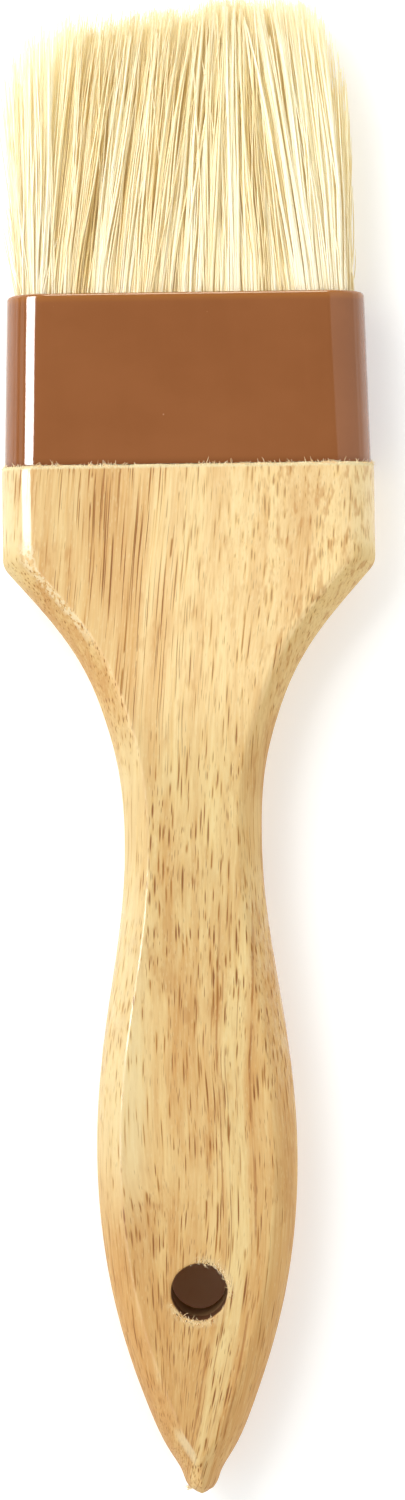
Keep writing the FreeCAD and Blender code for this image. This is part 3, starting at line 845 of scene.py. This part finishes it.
def build_bristles():
    top_x = np.array([p[0] for p in TOP_EDGE])
    top_y = np.array([p[1] for p in TOP_EDGE])
    # butts on a jittered hexagonal lattice that fills the ferrule's mouth
    step = 0.285
    gx, gz = [], []
    row = 0
    z = -4.92
    while z <= 4.93:
        half = 24.15 if abs(z) < 1.2 else 24.15 - (4.2 - math.sqrt(max(4.2 ** 2 - (abs(z) - 0.9) ** 2, 0.0)))
        xs = np.arange(-half, half, step) + (row % 2) * step / 2
        gx.append(xs)
        gz.append(np.full(len(xs), z))
        row += 1
        z += step * 0.9
    gx, gz = np.concatenate(gx), np.concatenate(gz)
    # stouter bristles lie over the front and the rear of the pack
    nh = 860
    hx = RNG.uniform(-23.6, 23.6, nh)
    hz = np.where(np.arange(nh) % 2 == 0, 1.0, -1.0) * RNG.uniform(4.55, 5.0, nh)
    # most of these run in bright locks of five that close to a point
    ng, per = 74, 5
    bx = RNG.uniform(-23.0, 23.0, ng)
    b_side = np.where(np.arange(ng) % 3 == 2, -1.0, 1.0)
    b_of = np.where(np.arange(nh) < ng * per, np.arange(nh) // per, -1)
    hx = np.where(b_of >= 0, bx[b_of] + RNG.normal(0, 0.17, nh), hx)
    hz = np.where(b_of >= 0, b_side[b_of] * RNG.uniform(4.75, 5.1, nh), hz)
    hz *= np.where(np.abs(hx) > 21.5, 0.82, 1.0)
    hero = np.concatenate([np.zeros(len(gx), bool), np.ones(nh, bool)])
    lock = np.concatenate([np.full(len(gx), -1), b_of])
    gx, gz = np.concatenate([gx, hx]), np.concatenate([gz, hz])
    n = len(gx)
    gx = gx + RNG.normal(0, 0.11, n) * (lock < 0)
    gz = gz + RNG.normal(0, 0.08, n) * ~hero

    def nearest(cx, cz, jitter):
        cid = np.empty(n, int)
        push = RNG.uniform(0, jitter, (1, len(cx)))
        for i0 in range(0, n, 1500):
            d = (gx[i0:i0 + 1500, None] - cx) ** 2 + ((gz[i0:i0 + 1500, None] - cz) * 0.9) ** 2
            cid[i0:i0 + 1500] = (d + push).argmin(1)
        return cid
    # wide tufts, and small locks of about ten inside them
    nt, nc = 64, 640
    tx, tz = RNG.uniform(-24, 24, nt), RNG.uniform(-4.9, 4.9, nt)
    tid = nearest(tx, tz, 1.2)
    cx, cz = RNG.uniform(-24.1, 24.1, nc), RNG.uniform(-4.9, 4.9, nc)
    cid = nearest(cx, cz, 0.12)
    locked = lock >= 0
    first = np.zeros(ng, int)
    first[lock[locked][::-1]] = np.where(locked)[0][::-1]
    cid[locked], tid[locked] = cid[first[lock[locked]]], tid[first[lock[locked]]]
    lean_at = np.array([-24.5, -22.5, -20.0, -15, -10, -5, 0, 4, 8, 12, 16, 19, 21, 22.6, 24.0])
    lean_by = np.array([-2.4, -0.6, 2.6, 5.2, 6.0, 5.8, 4.2, 2.0, -0.6, -3.2, -5.4, -6.0, -5.0, -2.2, -0.1])

    def field(px, pz):
        return np.interp(px, lean_at, lean_by) * (0.55 + 0.45 * np.abs(pz) / 5.0)
    t_lean, t_leanz = RNG.normal(0, 0.75, nt), RNG.normal(0, 0.28, nt)
    t_high = RNG.normal(0, 1.55, nt)
    t_bulge = RNG.normal(0, 0.30, nt)
    c_lean = field(cx, cz) + RNG.normal(0, 1.0, nc)
    c_leanz = RNG.normal(0, 0.28, nc)
    c_wave = RNG.normal(0, 0.22, nc)
    c_ph = RNG.uniform(0, 6.28, nc)
    c_pull = RNG.uniform(0.05, 0.52, nc)
    c_tone = RNG.normal(0, 0.18, nc)
    c_bulge = RNG.normal(0, 0.26, nc)
    c_high = RNG.normal(0, 0.75, nc)
    # where each strand ends
    lean = 0.55 * c_lean[cid] + 0.45 * field(gx, gz) + t_lean[tid] + RNG.normal(0, 0.42, n)
    lean = np.where(hero, lean + RNG.normal(0, 1.5, n), lean)
    stray = (RNG.random(n) < np.where(hero, 0.12, 0.030)) & ~locked
    lean = np.where(stray, lean + RNG.normal(0, 3.0, n), lean)
    b_lean = field(bx, np.full(ng, 5.0)) + RNG.normal(0, 1.1, ng)
    b_drop = RNG.exponential(2.6, ng)
    lean = np.where(locked, b_lean[lock] - 0.72 * (gx - bx[lock]) + RNG.normal(0, 0.05, n), lean)
    tipx = gx + lean
    # spread the left edge outwards, keep the right edge upright
    edge_l = smoothstep(-20.0, -24.2, gx)
    tipx = tipx * (1 - edge_l) + (gx + 0.4 - 3.2 * edge_l * RNG.random(n) ** 0.8 + RNG.normal(0, 0.45, n)) * edge_l
    edge_r = smoothstep(22.6, 24.1, gx)
    tipx = tipx * (1 - edge_r) + (24.0 + RNG.normal(0, 0.3, n)) * edge_r
    tipx = np.clip(tipx, -27.1, 24.7)
    height = np.interp(tipx, top_x, top_y)
    drop = RNG.exponential(1.9, n) + np.where(RNG.random(n) < 0.15, RNG.uniform(0, 10, n), 0)
    drop = np.where(locked, b_drop[lock] + RNG.uniform(0, 1.6, n), drop)
    # the pack thins out to wisps at both upper corners
    short = 0.52 * smoothstep(-14.0, -23.5, tipx) + 0.38 * smoothstep(18.5, 23.0, tipx)
    drop = drop + np.where(RNG.random(n) < short, RNG.uniform(3, 24, n), 0)
    tipy = height - drop + 0.75 * np.clip(c_high[cid] + t_high[tid] - 0.6, -3.2, 0.9)
    tipy = np.minimum(tipy, 108.25 - RNG.exponential(0.25, n))
    leanz = c_leanz[cid] + t_leanz[tid] + RNG.normal(0, 0.28, n) - 0.24 * gz
    leanz = np.where(stray | hero, leanz + np.abs(RNG.normal(0.25, 0.3, n)) * np.sign(gz), leanz)
    leanz = np.where(locked, leanz[first[lock]] + 0.25 * np.sign(gz), leanz)
    k = 13
    s = np.linspace(0, 1, k)
    base_y = 62.4
    paths = np.zeros((n, k, 3))
    pull = c_pull[cid] * np.where(stray | hero, 0.15, 1.0)
    keep = 1 - 0.7 * np.maximum(edge_l, edge_r)
    for j in range(k):
        e = s[j] ** 1.18
        px = gx + (tipx - gx) * e
        pz = gz + leanz * e
        # strands of a lock draw together from a little above the ferrule, and part again at the tips
        f = pull * smoothstep(0.06, 0.45, s[j]) * (1 - 0.45 * smoothstep(0.75, 1.0, s[j]))
        ccx = cx[cid] + (0.55 * c_lean[cid] + 0.45 * field(cx, cz)[cid] + t_lean[tid]) * e
        ccz = cz[cid] + (c_leanz[cid] + t_leanz[tid] - 0.24 * cz[cid]) * e
        px = px + (ccx - px) * f * keep
        pz = pz + (ccz - pz) * f * 0.7
        px = px + c_wave[cid] * np.sin(s[j] * 4.2 + c_ph[cid]) * smoothstep(0.1, 0.5, s[j])
        pz = pz + (c_bulge[cid] + t_bulge[tid]) * math.sin(math.pi * min(s[j] * 0.95, 1.0)) ** 1.2
        paths[:, j, 0] = px
        paths[:, j, 1] = base_y + (tipy - base_y) * s[j]
        paths[:, j, 2] = pz
    # each strand's own slight curl
    ph = RNG.uniform(0, 6.28, (n, 2))
    amp = np.abs(RNG.normal(0, 0.12, (n, 2))) + np.where(stray, 0.35, 0.0)[:, None] + np.where(hero, 0.10, 0.0)[:, None]
    fr = RNG.uniform(2.0, 6.5, (n, 2))
    for v in (ph, amp, fr):
        v[locked] = v[first[lock[locked]]]
    rise = smoothstep(0.05, 0.5, s)[None, :]
    paths[:, :, 0] += amp[:, :1] * np.sin(fr[:, :1] * s[None, :] + ph[:, :1]) * rise
    paths[:, :, 2] += amp[:, 1:] * np.sin(fr[:, 1:] * s[None, :] + ph[:, 1:]) * rise
    # stay inside the pack's thickness
    lim = 5.0 + 0.75 * smoothstep(0.08, 0.45, s)[None, :] - 0.5 * smoothstep(0.7, 1.0, s)[None, :] + np.where(hero, 0.15, 0)[:, None]
    over_z = np.abs(paths[:, :, 2]) - lim
    paths[:, :, 2] -= np.sign(paths[:, :, 2]) * np.where(over_z > 0, over_z * 0.8, 0)
    # none touches the ferrule's rim
    inside = 1 - smoothstep(0.06, 0.14, s)[None, :]
    paths[:, :, 0] = paths[:, :, 0] * (1 - inside) + np.clip(paths[:, :, 0], -24.25, 24.25) * inside
    paths[:, :, 2] = paths[:, :, 2] * (1 - inside) + np.clip(paths[:, :, 2], -5.0, 5.0) * inside
    paths[:, :, 2] += Z_MID
    r0 = np.clip(RNG.normal(0.108, 0.024, n), 0.06, 0.17)
    r0 = np.where(hero, np.clip(RNG.normal(0.130, 0.018, n), 0.09, 0.17), r0)
    taper = 1.0 - 0.30 * smoothstep(0.25, 0.75, s) - 0.42 * smoothstep(0.75, 1.0, s)
    radii = r0[:, None] * taper[None, :]
    # four more rings where the pack bends, halfway along the straight segments they divide
    for j in (4, 3, 2, 1):
        paths = np.insert(paths, j + 1, 0.5 * (paths[:, j] + paths[:, j + 1]), axis=1)
        radii = np.insert(radii, j + 1, 0.5 * (radii[:, j] + radii[:, j + 1]), axis=1)
    # tone per strand: random, plus paler for the stout outer strands and the locks, a painted highlight for their
    # shine, and paler toward the left and right edges of the pack, painted light for those brightly lit edges
    tone = 0.545 + c_tone[cid] + RNG.normal(0, 0.15, n) + np.where(hero, 0.20, 0) + np.where(locked, 0.22, 0)
    tone = np.clip(tone + 0.42 * smoothstep(-9.5, -20.0, tipx) + 0.40 * smoothstep(8.0, 21.0, tipx), 0, 1)
    print("strands", n)
    key = (np.clip(np.floor((gx + 25) / 50 * 3), 0, 2) * 2 + (gz > 0)).astype(int)
    names = ["bristles_rear_left", "bristles_front_left", "bristles_rear_mid", "bristles_front_mid", "bristles_rear_right", "bristles_front_right"]
    out = []
    for i, nm in enumerate(names):
        sel = key == i
        ob = tube_strands(nm, paths[sel], radii[sel], 4, tone[sel])
        ob.data.materials.append(HAIR)
        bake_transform(ob)
        out.append(ob)
        print(nm, int(sel.sum()), "triangles", sum(len(p.vertices) - 2 for p in ob.data.polygons))
    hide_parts("bristle_roots_rear", "bristle_field_rear")
    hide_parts("bristle_roots_front", "bristle_field_front")
    return out


def fibres(name, starts, dirs, lengths, radius, curl, body="brush_body"):
    n, k = len(starts), 5
    s = np.linspace(0, 1, k)
    dirs = dirs / np.linalg.norm(dirs, axis=1, keepdims=True)
    side = np.cross(dirs, RNG.normal(0, 1, (n, 3)))
    side /= np.linalg.norm(side, axis=1, keepdims=True)
    paths = starts[:, None, :] + dirs[:, None, :] * (lengths[:, None, None] * s[None, :, None]) \
        + side[:, None, :] * (curl * lengths[:, None, None] * (s[None, :, None] ** 2))
    radii = radius[:, None] * (1 - 0.75 * s[None, :])
    paths[:, :, 2] = np.maximum(paths[:, :, 2], radii + 0.08)
    ob = tube_strands(name, paths, radii, 4)
    ob.data.materials.append(SLIVER)
    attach(ob, body)
    return ob


def build_fuzz():
    # torn fibres along the end of the wood, round the whole joint but thickest in front
    n = 1700
    p = rounded_ring(53.42, 13.88, 5.4, 40, 160, 30)
    # bunched: some stretches of the edge are ragged, others clean
    centre = np.where(RNG.random(70) < 0.45, 234 + RNG.integers(0, 160, 70), RNG.integers(0, len(p), 70))
    idx = (centre[RNG.integers(0, 70, n)] + np.round(RNG.normal(0, 3.0, n)).astype(int)) % len(p)
    idx = np.where(RNG.random(n) < 0.45, RNG.integers(0, len(p), n), idx)
    q = p[idx]
    st = np.stack([q[:, 0] + RNG.normal(0, 0.08, n), 40.42 + RNG.uniform(-0.12, 0.15, n), Z_MID + q[:, 1]], -1)
    nrm = np.stack([q[:, 0] * (np.abs(q[:, 0]) > 23), np.zeros(n), q[:, 1]], -1)
    nrm /= np.linalg.norm(nrm, axis=1, keepdims=True) + 1e-9
    along = np.stack([nrm[:, 2], np.zeros(n), -nrm[:, 0]], -1) * RNG.normal(0, 0.9, (n, 1))
    d = nrm * RNG.uniform(0.0, 0.16, (n, 1)) + along + np.stack([np.zeros(n), RNG.uniform(0.15, 0.9, n), np.zeros(n)], -1)
    ln = np.clip(RNG.exponential(0.22, n), 0.12, 0.75)
    fibres("edge_fibres", st, d, ln, np.clip(RNG.normal(0.058, 0.012, n), 0.035, 0.085), 0.7)
    # the few long slivers
    xs = np.array([-21.6, -18.0, 1.4, 2.4, 2.0, 14.9, 15.6, 17.2, 17.9, 24.2, -24.0, 9.5])
    m = len(xs)
    st = np.stack([xs, np.full(m, 40.35), np.full(m, 13.85)], -1)
    d = np.stack([np.array([.8, -.3, .5, .9, .2, -.5, .8, -.7, -.4, .3, -.5, .7]), np.ones(m), np.full(m, 0.22)], -1)
    fibres("long_slivers", st, d, np.array([.7, .5, 1.2, 1.4, .7, 1.0, .8, 1.3, 1.1, .6, .5, .5]), np.full(m, 0.055), 0.3)
    # torn rim of the hole: upper right and lower left
    n = 150
    a = np.concatenate([RNG.normal(0.95, 0.42, n // 2), RNG.normal(4.4, 0.5, n - n // 2)])
    r = 4.0 + np.abs(RNG.normal(0, 0.38, n)) + 0.02
    st = np.stack([r * np.cos(a), HOLE_Y + r * np.sin(a), np.full(n, 13.92) - 0.25 * (r < 4.3)], -1)
    d = np.stack([np.cos(a) * RNG.uniform(-0.6, 0.8, n) + RNG.normal(0, .35, n), np.abs(RNG.normal(0.9, 0.4, n)) * np.where(RNG.random(n) < 0.5, 1, -1), RNG.uniform(0.1, 0.5, n)], -1)
    ln = np.clip(RNG.exponential(0.35, n), 0.2, 1.1)
    fibres("hole_rim_fibres", st, d, ln, np.full(n, 0.045), 0.25)
    # splintered corner at the very tip
    n = 16
    st = np.stack([RNG.uniform(-2.0, -1.4, n), RNG.uniform(-107.7, -107.2, n), Z_MID + RNG.uniform(0.5, 3.4, n)], -1)
    d = np.stack([RNG.uniform(-1.2, -0.4, n), RNG.uniform(-0.5, 0.4, n), RNG.uniform(-0.2, 0.5, n)], -1)
    fibres("tip_splinters", st, d, RNG.uniform(0.25, 0.6, n), np.full(n, 0.07), 0.3)


build_handle()
build_ferrule()
build_bristles()
build_fuzz()

# hidden pieces keep their CAD shape and get their own materials
for node, mat in (("tenon_glue", hidden_material("amber_glue", srgb(214, 190, 140), srgb(232, 210, 160), 0.35)),
                  ("setting_resin", hidden_material("cast_resin", srgb(170, 120, 60), srgb(196, 146, 80), 0.2)),
                  ("spacer_strip", hidden_material("strip_softwood", srgb(206, 170, 116), srgb(228, 196, 142), 0.65))):
    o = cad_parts[node]
    if len(o.material_slots) == 0:
        o.data.materials.append(mat)
    for sl in o.material_slots:
        sl.material = mat

# ---------------------------------------------------------------- floor, light, camera
def stage_floor():
    n = 60
    g = np.linspace(-1500, 1500, n)
    xx, yy = np.meshgrid(g, g)
    v = np.stack([xx.ravel(), yy.ravel(), np.full(n * n, -0.05)], -1)
    f = grid_faces(n, n, False)
    ob = new_mesh("studio_floor", v, f)
    m = Mat("white_sweep")
    mm = m.mapping(scale=(1000, 1000, 1000))
    x, y, z = m.sep(mm)
    nn = m.noise(m.mapping(mm, scale=(1 / 60, 1 / 60, 1)), 1.0, 2.0, 0.5)
    m.set(Base_Color=m.mix(nn, (0.895, 0.895, 0.89), (0.915, 0.915, 0.91)), Roughness=0.9)
    m.b.inputs["Specular IOR Level"].default_value = 0.05
    # lit from behind like a light table; under the brush's hole the glow drops and turns orange-brown, painted shade
    # and painted bounce light from the wood that make the hole's inside dim and brown
    ry = m.math("SUBTRACT", y, HOLE_Y)
    rad = m.math("SQRT", m.math("ADD", m.math("MULTIPLY", x, x), m.math("MULTIPLY", ry, ry)))
    m.put(m.b.inputs["Emission Strength"], m.step(rad, 5.0, 9.0, 0.05, FLOOR_GLOW))
    m.put(m.b.inputs["Emission Color"], m.mix(m.step(rad, 5.0, 9.0), (1.0, 0.36, 0.10), (1.0, 0.995, 0.985)))
    ob.data.materials.append(m.m)
    return ob


FLOOR_GLOW = 0.22
SKY = 1.12
stage_floor()
scene = bpy.context.scene
world = bpy.data.worlds.new("studio")
scene.world = world
world.use_nodes = True
wt = world.node_tree
wt.nodes.clear()
wo = wt.nodes.new("ShaderNodeOutputWorld")
bg = wt.nodes.new("ShaderNodeBackground")
bg.inputs[0].default_value = (0.978, 0.99, 0.985, 1)
# soft light from all round, none from straight above where the camera rig is
tc = wt.nodes.new("ShaderNodeTexCoord")
sp = wt.nodes.new("ShaderNodeSeparateXYZ")
mr = wt.nodes.new("ShaderNodeMapRange")
mr.interpolation_type = "SMOOTHSTEP"
wt.links.new(tc.outputs["Generated"], sp.inputs[0])
wt.links.new(sp.outputs[2], mr.inputs[0])
for i, val in ((1, 0.86), (2, 0.93), (3, SKY), (4, 0.0)):
    mr.inputs[i].default_value = val
wt.links.new(mr.outputs[0], bg.inputs[1])
wt.links.new(bg.outputs[0], wo.inputs[0])
world.cycles_visibility.glossy = False


def area(name, loc, aim, sx, sy, power, color=(1, 1, 1), diffuse=True, glossy=True):
    l = bpy.data.lights.new(name, "AREA")
    l.shape = "RECTANGLE"
    l.size, l.size_y = sx, sy
    l.energy = power
    l.color = color
    o = bpy.data.objects.new(name, l)
    o.location = loc
    o.rotation_euler = (Vector(aim) - Vector(loc)).to_track_quat("-Z", "Y").to_euler()
    o.visible_diffuse = diffuse
    o.visible_glossy = glossy
    o.visible_transmission = diffuse
    scene.collection.objects.link(o)
    return o


def radiance_power(rad, sx, sy):
    """Watts of a rectangle that shows this radiance."""
    return rad * math.pi * sx * sy


def side_card(name, near, far, length, rad, side, color=(1, 1, 1), dist=0.8, at_y=0.05):
    """A card beside the brush, seen in its edges between two angles from straight up."""
    mid, half = math.radians((near + far) / 2), math.radians((far - near) / 2)
    high = 2 * dist * math.tan(half)
    loc = (side * dist * math.sin(mid), at_y, dist * math.cos(mid) + 0.01)
    return area(name, loc, (0, at_y, 0.01), length, high, radiance_power(rad, length, high), color, False, True)


D = 0.65
area("key_soft", (-0.32, 0.28, 0.44), (0, 0.04, 0), 0.42, 0.42, KEY * 1.0, (1.0, 0.99, 0.965), True, False)
side_card("strip_left", 30.5, 57.0, 1.1, 22.0, -1)
side_card("card_left", 65.0, 77.5, 1.6, 0.78, -1, (1.0, 0.94, 0.88))
side_card("card_low", 84.5, 93.0, 1.8, 0.50, -1, (1.0, 0.96, 0.92))
side_card("card_right", 17.0, 92.0, 1.8, 0.65, 1, (1, 0.98, 0.97))
# a bright wall beyond the bristles, for the line along the ferrule's mouth
area("wall_top", (0.0, 0.78, 0.30), (0, 0.06, 0.01), 0.26, 0.42, radiance_power(10.0, 0.26, 0.42), (1.0, 0.94, 0.78), False, True)
area("wall_low", (0.0, 0.80, 0.03), (0, 0.06, 0.01), 1.8, 0.12, radiance_power(0.8, 1.8, 0.12), (1.0, 0.98, 0.95), False, True)

cam = bpy.data.cameras.new("camera")
cam.sensor_fit = "AUTO"
cam.sensor_width = 36.0
px = 0.1453
cam.lens = 36.0 * (D - 0.007) / (1500 * px * MM)
cam.clip_start = 0.01
co = bpy.data.objects.new("camera", cam)
roll = -0.0138
co.location = (1.55 * MM, -0.60 * MM, D)
co.rotation_euler = (0.0, 0.0, roll)
scene.collection.objects.link(co)
scene.camera = co
scene.view_settings.view_transform = "Standard"
scene.view_settings.look = "None"
scene.cycles.use_denoising = True
scene.cycles.max_bounces = 12
scene.cycles.diffuse_bounces = 9
